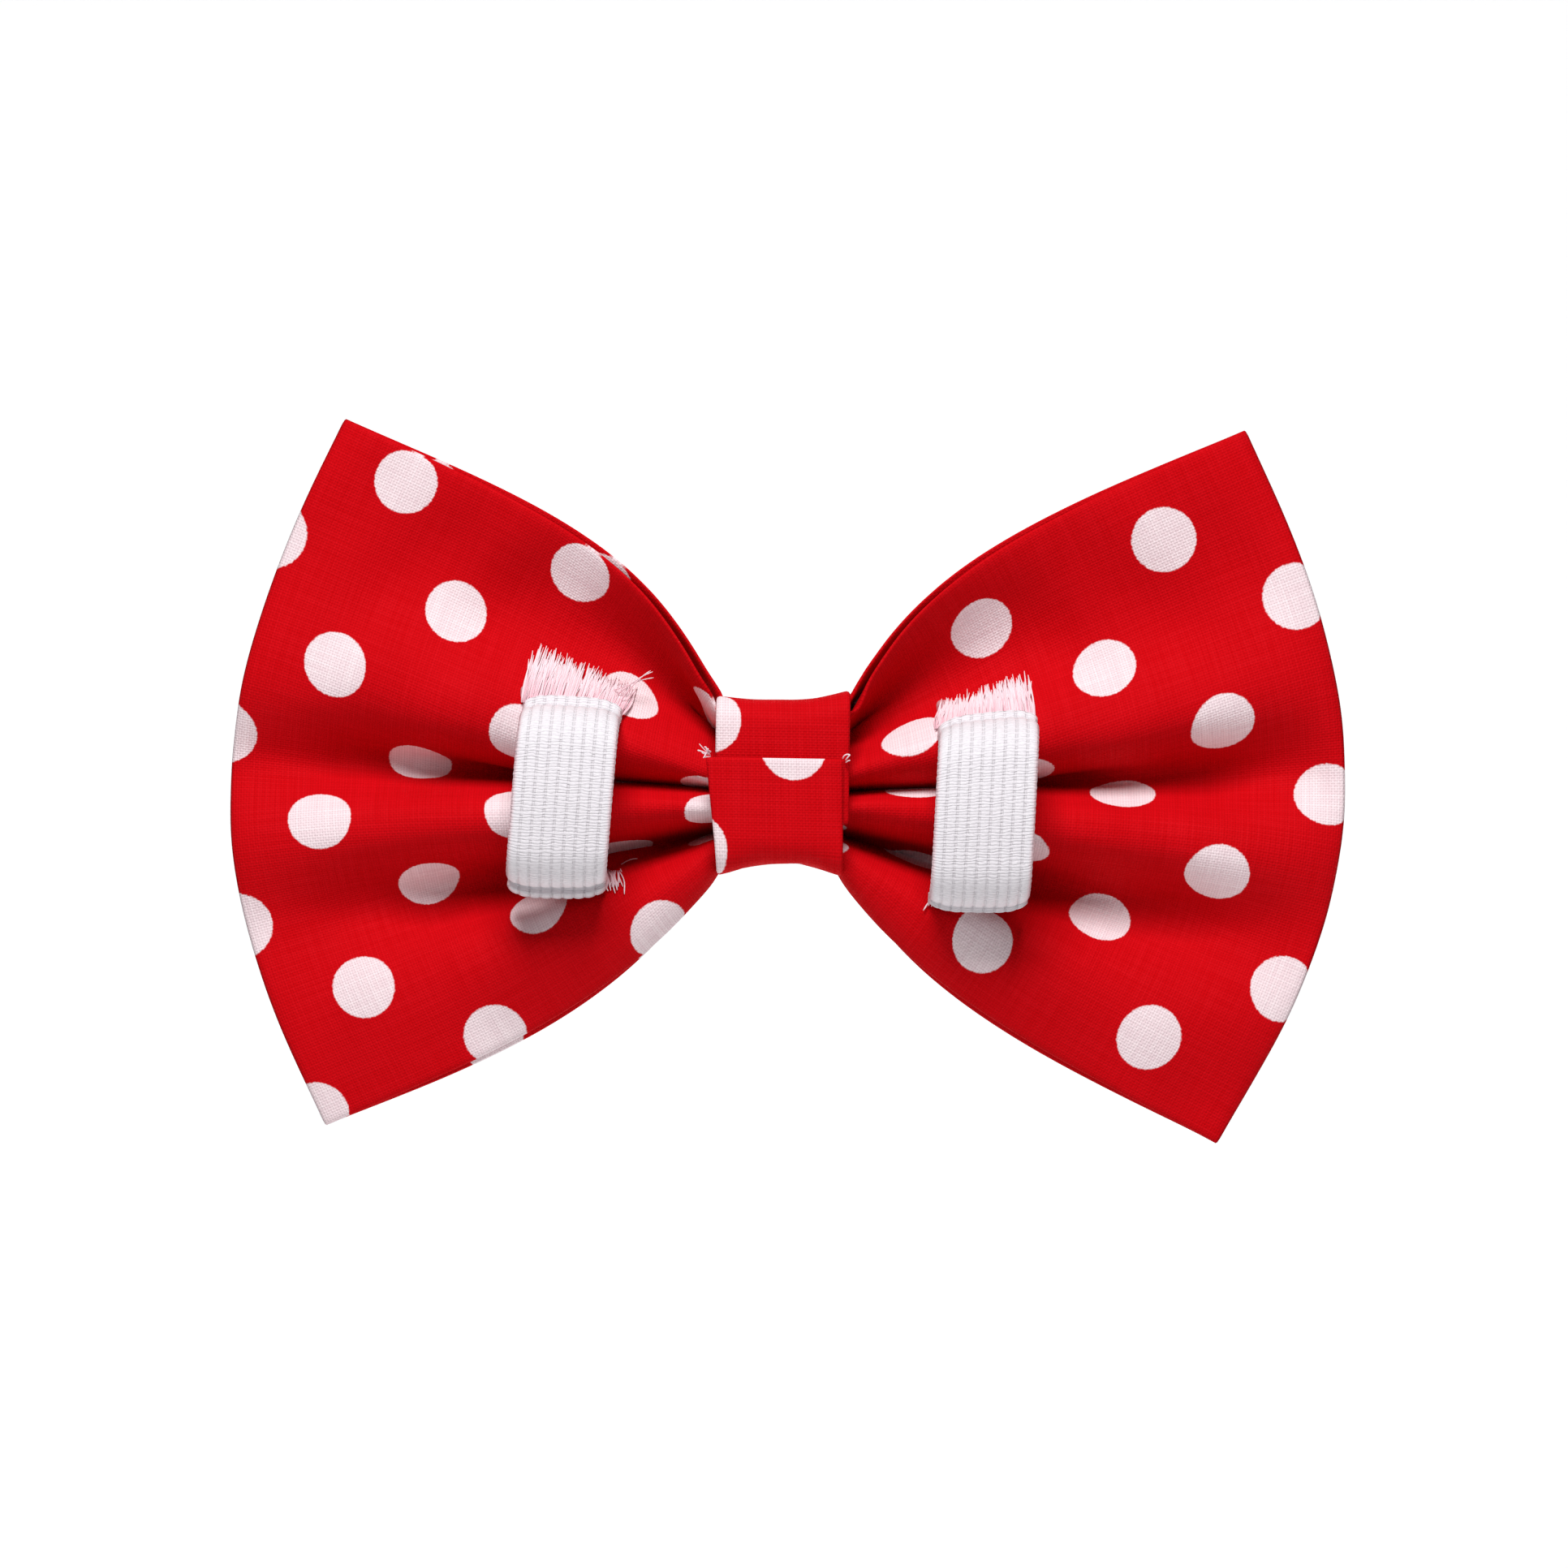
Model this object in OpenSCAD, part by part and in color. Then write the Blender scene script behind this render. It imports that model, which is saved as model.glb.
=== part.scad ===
// Slide-on bow tie for a pet's collar: two pleated wings of printed cotton, gathered by a knot strip,
// with a loop of flat elastic behind each wing.
// X runs along the bow's width (+X is the wearer's left), Y from its front (-Y) to its back (+Y), Z up.
// The origin is on the back of the knot, where the collar lies.

/* [Bow] */
// Width of the bow across its two outer folds
bow_w = 112; // [104:1:120]
// Height of each corner above or below the bow's centre line
corner_z = 36.4; // [32:0.2:40]
// How far each corner stands inside the full width
corner_in = 11.4; // [6:0.2:14]
// Depth of a pleat beside the knot, from the bow's mid plane
pleat_depth = 4.4; // [3:0.1:4.4]
// Depth of the last of the pleats at the outer fold
edge_depth = 0.5; // [0.3:0.1:1.5]
// Thickness of one pressed layer of cloth
cloth_t = 0.6; // [0.4:0.05:0.6]
// Thickness of the non-woven stiffener between the layers
stiffener_t = 0.5; // [0.3:0.05:0.5]

/* [Knot] */
// Width of the knot strip
knot_w = 13.4; // [12:0.2:15]
// Depth of the knot from its front to its back
knot_d = 14.4; // [14:0.1:15]
// Top of the knot above the centre line
knot_top = 8.8; // [8.6:0.1:10]
// Bottom of the knot below the centre line
knot_bottom = 9.2; // [9:0.1:10]
// Thickness of the folded knot strip
strip_t = 0.9; // [0.6:0.05:0.9]
// Height at which the strip's free end lies across the back
flap_z = 2.6; // [1:0.2:5]

/* [Elastic] */
// Width of the flat elastic
elastic_w = 10; // [8:0.5:11]
// Thickness of the flat elastic
elastic_t = 1; // [0.8:0.05:1]
// Outer height of each loop
loop_h = 19.4; // [18:0.2:21]
// Distance of each loop's centre from the bow's centre
loop_x = 21.3; // [20:0.1:23]
// Height of the loops' centres below the centre line
loop_drop = 2.2; // [1.8:0.1:2.6]
// Room for the collar between the knot's back and the crown of a loop
strap_gap = 4.2; // [3:0.1:5]
// Length of the cut end that lies above each loop
top_end = 6.6; // [4:0.2:8]
// Length of the cut end that lies below each loop
bottom_end = 3; // [2:0.2:4]

/* [Hidden] */
$fn = 64;
PLEATS = 3;                 // pleats from the top edge to the bottom edge
PLEAT_SHIFT = 0.07;         // the middle valley lies this share of the half height below the centre line
STATIONS = 9;               // rows of points along a wing
ACROSS = 28;                // points across a wing, from its top edge to its bottom edge
RUN = 0.3;                  // running gap between pieces that move past each other
GLUE_T = 0.2;               // film of glue under the knot's free end
THREAD_D = 0.35;            // sewing thread
THREAD_TURNS = 7;
CORNER_R = 2.6;             // outer radius of the knot strip where it turns a corner
FIT = 0.05;                 // gap between pieces that lie against each other

ring_back = -(strip_t + GLUE_T);                      // back of the strip's inner turn
mid_y = (ring_back - knot_d) / 2;                     // mid plane of the bow
ring_half_d = (knot_d + ring_back) / 2;
ring_bottom = knot_bottom - strip_t - GLUE_T / 2;
waist_half_d = ring_half_d - strip_t - THREAD_D - 2 * FIT;
waist_top = knot_top - strip_t - THREAD_D - 2 * FIT;
waist_bottom = ring_bottom - strip_t - THREAD_D - 2 * FIT;
waist_z = (waist_top - waist_bottom) / 2;             // middle of the gathered waist
waist_half_h = (waist_top + waist_bottom) / 2;
waist_half_w = knot_w / 2 + 0.2;
waist_r = CORNER_R - strip_t - THREAD_D - 2 * FIT;

layer_in = stiffener_t / 2 + 0.1;                     // from the mid surface to a layer's inner face
layer_out = layer_in + cloth_t;
waist_depth = waist_half_d - layer_out;               // pleat depth inside the knot

root_x = waist_half_w + 1.3;                          // where a wing starts
root_depth = pleat_depth * 0.52;
root_share = 0.03;                                    // the pleats reach full depth over this share
root_half_h = 8;
edge_x = bow_w / 2;

tab_y = mid_y + pleat_depth + layer_out - 0.6;        // underside of an elastic's glued end
leg_lap = 3.7;                                        // overlap of a leg's two parts at rest

// ---- shared shapes ----

// A slab along X with a rounded outline in Y and Z.
module rounded_bar(y0, y1, z0, z1, r, w) {
    translate([-w / 2, 0, 0])
        rotate([90, 0, 90])
            linear_extrude(w) {
                translate([y0 + r, z0]) square([y1 - y0 - 2 * r, z1 - z0]);
                translate([y0, z0 + r]) square([y1 - y0, z1 - z0 - 2 * r]);
                for (y = [y0 + r, y1 - r], z = [z0 + r, z1 - r])
                    translate([y, z]) circle(r);
            }
}

// A band of thickness t that runs round a rounded bar, t inside its outline.
module round_band(y0, y1, z0, z1, r, w, t) {
    difference() {
        rounded_bar(y0, y1, z0, z1, r, w);
        rounded_bar(y0 + t, y1 - t, z0 + t, z1 - t, r - t, w + 2);
    }
}

// Depth of the pleats at a height, from -1 at the bottom edge to 1 at the top edge; 1 is a ridge at the back.
function pleat(h) = -cos(180 * PLEATS * (h + PLEAT_SHIFT * (1 - h * h)));

// ---- knot ----

module knot_band() {
    color("firebrick") {
        round_band(-knot_d, ring_back, -ring_bottom, knot_top, CORNER_R, knot_w, strip_t);
        // The strip's free end, up the back over its own start
        intersection() {
            round_band(-knot_d, 0, -knot_bottom, knot_top + 1, CORNER_R + GLUE_T, knot_w, strip_t);
            translate([-knot_w / 2, mid_y, -knot_bottom])
                cube([knot_w, -mid_y, knot_bottom + flap_z]);
        }
        // Where the outer turn leaves the inner one, under the waist
        translate([-knot_w / 2, mid_y - 1, -ring_bottom - strip_t / 2])
            cube([knot_w, 2, strip_t]);
    }
}

module knot_glue() {
    film_w = 8;
    film_h = 6;
    under_end = 1.1;        // how far the film stays below the strip's free end
    color("ivory")
        translate([-film_w / 2, ring_back, flap_z - under_end - film_h])
            cube([film_w, GLUE_T, film_h]);
}

// ---- gathered waist ----

// One layer of the gathered cloth inside the thread, between two distances from the mid surface.
module waist_layer(y_in, y_out) {
    n = 8 * PLEATS * 2;
    function edge(i, off) =
        let (h = 1 - 2 * i / n)
        [mid_y + waist_depth * pleat(h) + off, waist_z + waist_half_h * h];
    outline = concat(
        [for (i = [0 : n]) edge(i, y_in)],
        [for (i = [n : -1 : 0]) edge(i, y_out)]
    );
    intersection() {
        translate([-waist_half_w, 0, 0])
            rotate([90, 0, 90])
                linear_extrude(2 * waist_half_w)
                    polygon(outline);
        rounded_bar(
            mid_y - waist_half_d, mid_y + waist_half_d,
            waist_z - waist_half_h, waist_z + waist_half_h,
            waist_r, 2 * waist_half_w
        );
    }
}

module waist_front_cloth() { color("red") waist_layer(-layer_out, -layer_in); }

module waist_back_cloth() { color("red") waist_layer(layer_in, layer_out); }

module gather_thread() {
    pitch = 0.8;
    reach = THREAD_D + FIT;
    color("white")
        for (i = [0 : THREAD_TURNS - 1])
            translate([(i - (THREAD_TURNS - 1) / 2) * pitch, 0, 0])
                round_band(
                    mid_y - waist_half_d - reach, mid_y + waist_half_d + reach,
                    waist_z - waist_half_h - reach, waist_z + waist_half_h + reach,
                    waist_r + reach, THREAD_D, THREAD_D
                );
}

// ---- wings ----

// Pleat depth along a wing, s from 0 at its root to 1 at its outer fold.
function wing_depth(s) =
    s < root_share
        ? root_depth + (pleat_depth - root_depth) * s / root_share
        : edge_depth + (pleat_depth - edge_depth) * pow((1 - s) / (1 - root_share), 1.3);

function wing_half_h(s) = root_half_h + (corner_z - root_half_h) * pow(s, 0.55);

function wing_end_x(h) = edge_x - corner_in * h * h;

// A point on a wing, off its mid surface by a share of the gap that closes at the outer fold.
function wing_point(s, h, gap, extra) = [
    root_x + s * (wing_end_x(h) - root_x),
    mid_y + wing_depth(s) * pleat(h) + gap * (1 - pow(s, 8)) + extra,
    wing_half_h(s) * h
];

// A closed sheet between two surfaces of a wing, short of the outer fold and of both edges by a number of steps.
module wing_sheet(gap, under, over, short, narrow) {
    last = STATIONS - short;
    wide = ACROSS - 2 * narrow;
    rows = last + 1;
    cols = wide + 1;
    function station(i) = pow(i / STATIONS, 1.6);
    function height(j) = 1 - 2 * (j + narrow) / ACROSS;
    points = [
        for (extra = [under, over], i = [0 : last], j = [0 : wide])
            wing_point(station(i), height(j), gap, extra)
    ];
    function at(layer, i, j) = layer * rows * cols + i * cols + j;
    lower = [
        for (i = [0 : last - 1], j = [0 : wide - 1], half = [0, 1])
            half == 0
                ? [at(0, i, j), at(0, i + 1, j), at(0, i + 1, j + 1)]
                : [at(0, i, j), at(0, i + 1, j + 1), at(0, i, j + 1)]
    ];
    upper = [
        for (i = [0 : last - 1], j = [0 : wide - 1], half = [0, 1])
            half == 0
                ? [at(1, i, j), at(1, i + 1, j + 1), at(1, i + 1, j)]
                : [at(1, i, j), at(1, i, j + 1), at(1, i + 1, j + 1)]
    ];
    edges = [
        for (i = [0 : last - 1], end = [0, 1])
            let (j = end * wide, quad = [at(0, i, j), at(1, i, j), at(1, i + 1, j), at(0, i + 1, j)])
            end == 0 ? quad : [quad[3], quad[2], quad[1], quad[0]]
    ];
    ends = [
        for (j = [0 : wide - 1], end = [0, 1])
            let (i = end * last, quad = [at(0, i, j), at(0, i, j + 1), at(1, i, j + 1), at(1, i, j)])
            end == 0 ? quad : [quad[3], quad[2], quad[1], quad[0]]
    ];
    polyhedron(points, concat(lower, upper, edges, ends), convexity = 10);
}

module front_cloth() { color("red") wing_sheet(-layer_in, -cloth_t, 0, 0, 0); }

module back_cloth() { color("red") wing_sheet(layer_in, 0, cloth_t, 0, 0); }

module stiffener() { color("whitesmoke") wing_sheet(0, -stiffener_t / 2, stiffener_t / 2, 1, 1); }

// ---- elastic ----

loop_top = loop_h / 2 - loop_drop;
loop_bottom = -loop_h / 2 - loop_drop;
crown_out = strap_gap + elastic_t;
leg_foot = tab_y + elastic_t + RUN;
wall_top = leg_foot + leg_lap;

// The part of a loop that stretches away from the wing: its crown and the upper parts of its two legs.
module elastic_loop() {
    outer_r = 3.2;
    color("white")
        translate([loop_x, 0, 0])
            intersection() {
                round_band(leg_foot - 10, crown_out, loop_bottom, loop_top, outer_r, elastic_w, elastic_t);
                translate([-elastic_w / 2, leg_foot, loop_bottom])
                    cube([elastic_w, crown_out - leg_foot, loop_h]);
            }
}

// A cut end glued flat to the wing, turned up into the foot of a leg. way is 1 above the loop and -1 below.
module elastic_end(leg_z, end_len, way) {
    wall_z = leg_z - way * (elastic_t + RUN);
    color("white")
        translate([loop_x - elastic_w / 2, 0, wall_z])
            mirror([0, 0, way > 0 ? 0 : 1]) {
                translate([0, tab_y, -elastic_t]) cube([elastic_w, wall_top - tab_y, elastic_t]);
                translate([0, tab_y, -elastic_t]) cube([elastic_w, elastic_t, end_len + elastic_t]);
            }
}

// A dab of hot-melt glue between the wing and a cut end.
module glue_pad(leg_z, way) {
    pad_w = 8;
    pad_h = 2.4;
    sink = 0.85;
    z = leg_z - way * (elastic_t + RUN + pad_h / 2 - 0.6);
    color("ivory")
        translate([loop_x - pad_w / 2, tab_y - sink, z - pad_h / 2])
            cube([pad_w, sink, pad_h]);
}

module elastic_end_top() { elastic_end(loop_top, top_end, 1); }
module elastic_end_bottom() { elastic_end(loop_bottom, bottom_end, -1); }
module glue_top() { glue_pad(loop_top, 1); }
module glue_bottom() { glue_pad(loop_bottom, -1); }

// ---- the nodes ----

knot_band();
knot_glue();
gather_thread();
waist_front_cloth();
waist_back_cloth();

front_cloth();  // left_front_cloth
stiffener();  // left_stiffener
back_cloth();  // left_back_cloth
elastic_loop();  // left_elastic_loop
elastic_end_top();  // left_elastic_end_top
elastic_end_bottom();  // left_elastic_end_bottom
glue_top();  // left_glue_top
glue_bottom();  // left_glue_bottom

mirror([1, 0, 0]) front_cloth();  // right_front_cloth
mirror([1, 0, 0]) stiffener();  // right_stiffener
mirror([1, 0, 0]) back_cloth();  // right_back_cloth
mirror([1, 0, 0]) elastic_loop();  // right_elastic_loop
mirror([1, 0, 0]) elastic_end_top();  // right_elastic_end_top
mirror([1, 0, 0]) elastic_end_bottom();  // right_elastic_end_bottom
mirror([1, 0, 0]) glue_top();  // right_glue_top
mirror([1, 0, 0]) glue_bottom();  // right_glue_bottom
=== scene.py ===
"""A slide-on bow tie for a pet's collar, in red spotted cotton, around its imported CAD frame.

The wings are gathered from a flat strip of cloth by a small cloth solver, in millimetres. What is built from
their shape, such as the stiffener, the elastic's glued ends and its frayed yarns, comes after them.
"""

import math

import bpy
import numpy as np
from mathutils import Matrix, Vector
from mathutils.bvhtree import BVHTree


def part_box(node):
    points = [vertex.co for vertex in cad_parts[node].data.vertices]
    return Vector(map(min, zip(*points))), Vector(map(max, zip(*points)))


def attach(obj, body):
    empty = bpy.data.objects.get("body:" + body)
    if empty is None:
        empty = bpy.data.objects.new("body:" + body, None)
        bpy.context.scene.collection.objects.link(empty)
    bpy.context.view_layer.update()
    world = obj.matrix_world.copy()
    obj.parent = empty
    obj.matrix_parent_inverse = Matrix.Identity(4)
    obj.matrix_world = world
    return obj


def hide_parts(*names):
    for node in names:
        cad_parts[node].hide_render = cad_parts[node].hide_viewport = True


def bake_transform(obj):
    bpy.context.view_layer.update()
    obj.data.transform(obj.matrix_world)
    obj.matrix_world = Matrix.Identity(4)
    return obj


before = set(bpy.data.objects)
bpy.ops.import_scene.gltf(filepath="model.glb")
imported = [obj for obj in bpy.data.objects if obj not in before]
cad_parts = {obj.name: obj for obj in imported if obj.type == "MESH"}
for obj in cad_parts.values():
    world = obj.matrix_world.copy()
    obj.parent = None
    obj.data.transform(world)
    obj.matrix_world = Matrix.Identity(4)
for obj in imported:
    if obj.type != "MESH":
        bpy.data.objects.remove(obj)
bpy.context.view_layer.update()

MM = 0.001
SCENE = bpy.context.scene

# ---- sizes, in millimetres, from the CAD frame where it holds them ----


def node_box(node):
    """A CAD node's lowest and highest corners, in millimetres."""
    low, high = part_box(node)
    return np.array(low) / MM, np.array(high) / MM


KNOT_LOW, KNOT_HIGH = node_box("knot_band")
LOOP_BACK = node_box("left_elastic_loop")[1][1]
WAIST_FRONT, WAIST_BACK = node_box("waist_front_cloth")[0][1], node_box("waist_back_cloth")[1][1]

MID_Y = (WAIST_FRONT + WAIST_BACK) / 2      # mid plane of the bow
WAIST_X = KNOT_HIGH[0] - 0.6        # the cloth is held up to here, just inside the knot
CLOTH_T = 0.46                      # one pressed, doubled layer of the strip
STRIP_H = 76.2                      # flat height of the bow's strip
WING_L = 49.8                       # flat length from WAIST_X to the outer fold
DOT_R = 3.2
DOT_REPEAT = 20.0

# ---- the gathered wings ----

ROWS = 60                           # cells from the top edge to the bottom edge
COLS = 40                           # cells from the waist to the outer fold
LAYER_GAP = 0.95                    # between the two layers' middles, where the stiffener lies
FOLD_GAP = 0.5                      # the same at the pressed outer fold
TIGHT_L = 13.0                      # the thread gathers the cloth tight up to here
FRONT_PEEK = 1.0                    # the front layer stands out past the back one halfway along the edges
LOFT = 1.5                          # extra room that the layers may take halfway along a wing

# The corners and the elbows of the top and bottom edges are (x, z), and bulge is the outer fold's furthest x.
# Each fold is (share of the half height at the waist, height there, depth there, depth outwards, share of the
# half height outwards), from the top edge down. Ridges towards the back and valleys take turns, from a ridge.
LEFT_WING = {
    "top": (44.4, 36.1), "bottom": (45.4, -35.0), "bulge": 55.2, "top_elbow": (15.2, 23.0),
    "bottom_elbow": (20.0, -23.8),
    "folds": [
        (1.00, 7.4, 2.6, 1.0, 1.00), (0.66, 4.8, -4.2, -0.4, 0.66), (0.21, 0.6, 4.4, 2.8, 0.20),
        (0.03, -0.5, -5.2, -6.2, 0.03), (-0.16, -2.2, 5.0, 2.8, -0.20), (-0.35, -5.0, -7.6, -3.2, -0.46),
        (-0.56, -6.8, 4.2, 1.6, -0.68), (-1.00, -8.2, 0.5, 0.5, -1.00),
    ],
}
RIGHT_WING = {
    "top": (46.5, 36.4), "bottom": (44.9, -35.4), "bulge": 57.0, "top_elbow": (16.8, 22.4),
    "bottom_elbow": (18.2, -22.0),
    "folds": [
        (1.00, 7.5, 2.6, 1.0, 1.00), (0.52, 4.1, -4.6, -1.0, 0.52), (0.24, 0.9, 4.4, 2.2, 0.20),
        (0.04, -0.7, -5.2, -5.8, 0.04), (-0.16, -2.4, 5.0, 2.4, -0.20), (-0.37, -5.2, -7.6, -2.8, -0.46),
        (-0.57, -6.9, 4.2, 1.4, -0.68), (-1.00, -8.0, 0.5, 0.5, -1.00),
    ],
}


def ease(t):
    t = np.clip(t, 0.0, 1.0)
    return t * t * (3 - 2 * t)


def fold_wave(wing, s, h):
    """The depth of a wing's folds at shares s of its length and h of its half height."""
    depth = np.zeros(np.broadcast(s, h).shape)
    lines = [
        (h_near + (h_far - h_near) * s, near + (far - near) * s)
        for h_near, _, near, far, h_far in wing["folds"]
    ]
    for (h0, y0), (h1, y1) in zip(lines, lines[1:]):
        t = (h0 - h) / (h0 - h1)
        wave = y0 + (y1 - y0) * (1 - np.cos(np.pi * np.clip(t, 0, 1))) / 2
        depth = np.where((t >= 0) & (t <= 1), wave, depth)
    return depth


def arc_lengths(points):
    """Distances along each column of points[column, row]."""
    steps = np.linalg.norm(np.diff(points, axis=1), axis=-1)
    return np.concatenate([np.zeros((len(points), 1)), np.cumsum(steps, axis=1)], axis=1)


def evened(points, count):
    """Each row of points[row, stop], along the same line but at even distances."""
    along = arc_lengths(points)
    even = np.empty((len(points), count, 3))
    for row, length in enumerate(along):
        stops = np.linspace(0, length[-1], count)
        even[row] = np.stack([np.interp(stops, length, points[row, :, axis]) for axis in range(3)], -1)
    return even


def fan_outline(wing, h, fine=240):
    """The wing seen from behind, as points[column, height] without depth. Rows bend near the waist."""
    t = np.linspace(0, 1, fine)[:, None, None]
    down = [-fold[0] for fold in wing["folds"]]
    height = np.interp(-h, down, [fold[1] for fold in wing["folds"]])
    start = np.stack([np.full(h.shape, WAIST_X), height], -1)
    top, bottom = np.array(wing["top"]), np.array(wing["bottom"])
    end = (top + bottom) / 2 + h[..., None] * (top - bottom) / 2
    end[..., 0] += (wing["bulge"] - (top[0] + bottom[0]) / 2) * (1 - h * h)
    elbow = 0.75 * start + 0.25 * end
    for edge, row, side in (("top_elbow", 0, h > 0), ("bottom_elbow", -1, h < 0)):
        bend = wing[edge] - elbow[0, row]
        elbow = elbow + np.where(side, h * h, 0)[..., None] * bend
    line = (1 - t) ** 3 * start + 3 * t * (1 - t) * elbow + t ** 3 * end
    points = np.stack([line[..., 0], 0 * line[..., 0], line[..., 1]], -1)
    return evened(points.swapaxes(0, 1), COLS + 1).swapaxes(0, 1)


def fan_shape(wing, fine=6):
    """Where the middle of a wing would lie if its folds ran straight, as points[column, row]. In each column
    the folds are as deep as the whole width of the cloth makes them."""
    s = np.linspace(0, 1, COLS + 1)[:, None]
    h = np.linspace(1, -1, fine * ROWS + 1)[None]
    points = fan_outline(wing, h)
    wave = fold_wave(wing, s, h)
    points[..., 1] = wave
    at_waist = arc_lengths(points)[0, -1] / STRIP_H
    width = STRIP_H * (at_waist + (1 - at_waist) * ease(s[:, 0] * WING_L / TIGHT_L))
    low, high = np.zeros(COLS + 1), np.full(COLS + 1, 3.0)
    for _ in range(30):
        scale = (low + high) / 2
        points[..., 1] = wave * scale[:, None]
        short = arc_lengths(points)[:, -1] < width
        low, high = np.where(short, scale, low), np.where(short, high, scale)
    return evened(points, ROWS + 1) + [0, MID_Y, 0]


def sheet_normals(points):
    """Unit normals of points[column, row], towards the back."""
    n = np.cross(np.gradient(points, axis=0), np.gradient(points, axis=1))
    return n / (np.linalg.norm(n, axis=-1, keepdims=True) + 1e-9)


def pull(a, b, rest, free_a, free_b, stiffness):
    """Moves points a and b towards their rest distance, in place."""
    d = b - a
    length = np.sqrt(np.einsum("...i,...i->...", d, d)) + 1e-9
    share = stiffness * (length - rest) / (length * np.maximum(free_a + free_b, 1e-9))
    a += (free_a * share)[..., None] * d
    b -= (free_b * share)[..., None] * d


def pull_rows(p, free, rest, axis, stiffness):
    """Pulls each pair of neighbours along an axis, every other pair at a time."""
    p, free, rest = (np.moveaxis(m, axis, 0) for m in (p, free, rest))
    for start in (0, 1):
        n = (len(p) - start) // 2
        a, b = slice(start, start + 2 * n, 2), slice(start + 1, start + 2 * n, 2)
        pull(p[a], p[b], rest[a], free[a], free[b], stiffness)


def pull_diagonals(p, free, rest, stiffness):
    for start in (0, 1):
        n = (len(p) - start) // 2
        a, b = slice(start, start + 2 * n, 2), slice(start + 1, start + 2 * n, 2)
        for one, other in ((slice(0, -1), slice(1, None)), (slice(1, None), slice(0, -1))):
            pull(p[a, one], p[b, other], rest[a], free[a, one], free[b, other], stiffness)


def straighten(p, free, axis, reach, stiffness):
    """Moves each point towards the middle of the two that lie reach away on either side of it."""
    p, free, stiffness = (np.moveaxis(m, axis, 0) for m in (p, free, stiffness))
    for start in range(3 * reach):
        i = np.arange(start, len(p) - 2 * reach, 3 * reach)
        a, m, b = i, i + reach, i + 2 * reach
        k = stiffness[m] / np.maximum((free[a] + free[b]) / 4 + free[m], 1e-9)
        move = ((p[a] + p[b]) / 2 - p[m]) * k[..., None]
        p[a] -= 0.5 * free[a][..., None] * move
        p[b] -= 0.5 * free[b][..., None] * move
        p[m] += free[m][..., None] * move


def part_layers(p, free, normals, low, high):
    """Keeps the two layers of a wing between two distances of each other."""
    front, back = p[:COLS], p[COLS + 1:][::-1]
    free_front, free_back = free[:COLS], free[COLS + 1:][::-1]
    d = np.einsum("...i,...i->...", back - front, normals[:COLS])
    push = (np.clip(d, low, high) - d) / np.maximum(free_front + free_back, 1e-9)
    front -= (push * free_front)[..., None] * normals[:COLS]
    back += (push * free_back)[..., None] * normals[:COLS]


def row_lengths(points):
    """The length of the cloth from the waist to the outer fold, for each row, smoothed."""
    lengths = np.linalg.norm(np.diff(points, axis=0), axis=-1).sum(0)
    h = np.linspace(1, -1, ROWS + 1)
    return np.polyval(np.polyfit(h, lengths, 2), h)


def gather_wing(wing, steps=150, rounds=12):
    """The strip of one wing, from the front of the waist round the outer fold to the back of the waist, as
    points[column, row] with x outwards. The cloth keeps its length, and a light guide holds it in folds."""
    middle = fan_shape(wing)
    out = np.linspace(0, WING_L, COLS + 1)
    gap = FOLD_GAP + (LAYER_GAP - FOLD_GAP) * ease((WING_L - out) / 6)
    offset = 0.5 * gap[:, None, None] * sheet_normals(middle)
    p = np.concatenate([middle - offset, (middle + offset)[::-1][1:]])
    p[COLS] = middle[COLS] + [0.2, 0, 0]
    target = p.copy()
    stand_out = FRONT_PEEK * np.sin(np.pi * out / WING_L)
    target[:COLS + 1, :, 2] += stand_out[:, None] * np.linspace(1, -1, ROWS + 1) ** 3
    free = np.ones(p.shape[:2])
    free[[0, -1]] = 0

    width = arc_lengths(middle)[:, -1:] / ROWS
    rest_v = np.repeat(np.concatenate([width, width[::-1][1:]]), ROWS, axis=1)
    rest_u = np.repeat(row_lengths(middle)[None] / COLS, 2 * COLS, axis=0)
    rest_d = np.hypot(rest_u[:, 1:], (rest_v[1:] + rest_v[:-1]) / 2)

    row = np.arange(ROWS + 1)
    near_fold = np.abs(np.arange(2 * COLS + 1) - COLS)[:, None] * np.ones(ROWS + 1)
    bend_u = np.where(near_fold < 1, 0.0, 0.3)
    wide_u = np.where(near_fold < 4, 0.0, 0.15)
    bend_v = np.full(free.shape, 0.10)
    wide_v = np.full(free.shape, 0.04)
    low = gap[:COLS, None]
    high = low + LOFT * np.sin(np.pi * out[:COLS, None] / WING_L) ** 0.7
    at_rim = np.maximum(1 - near_fold / 5, 0) + np.maximum(1 - np.minimum(row, row[::-1]) / 4, 0)
    guide = (0.03 + 0.1 * np.clip(at_rim, 0, 1))[..., None] * free[..., None]

    before = p.copy()
    for _ in range(steps):
        speed = 0.9 * (p - before) * free[..., None]
        before = p.copy()
        p += speed + guide * (target - p)
        normals = sheet_normals((p[:COLS + 1] + p[COLS:][::-1]) / 2)
        for turn in range(rounds):
            straighten(p, free, 0, 1, bend_u)
            straighten(p, free, 1, 1, bend_v)
            if turn % 3 == 0:
                straighten(p, free, 0, 3, wide_u)
                straighten(p, free, 1, 3, wide_v)
            pull_rows(p, free, rest_u, 0, 1.0)
            pull_rows(p, free, rest_v, 1, 1.0)
            pull_diagonals(p, free, rest_d, 0.3)
            part_layers(p, free, normals, low, high)
    return p


# ---- meshes ----


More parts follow.
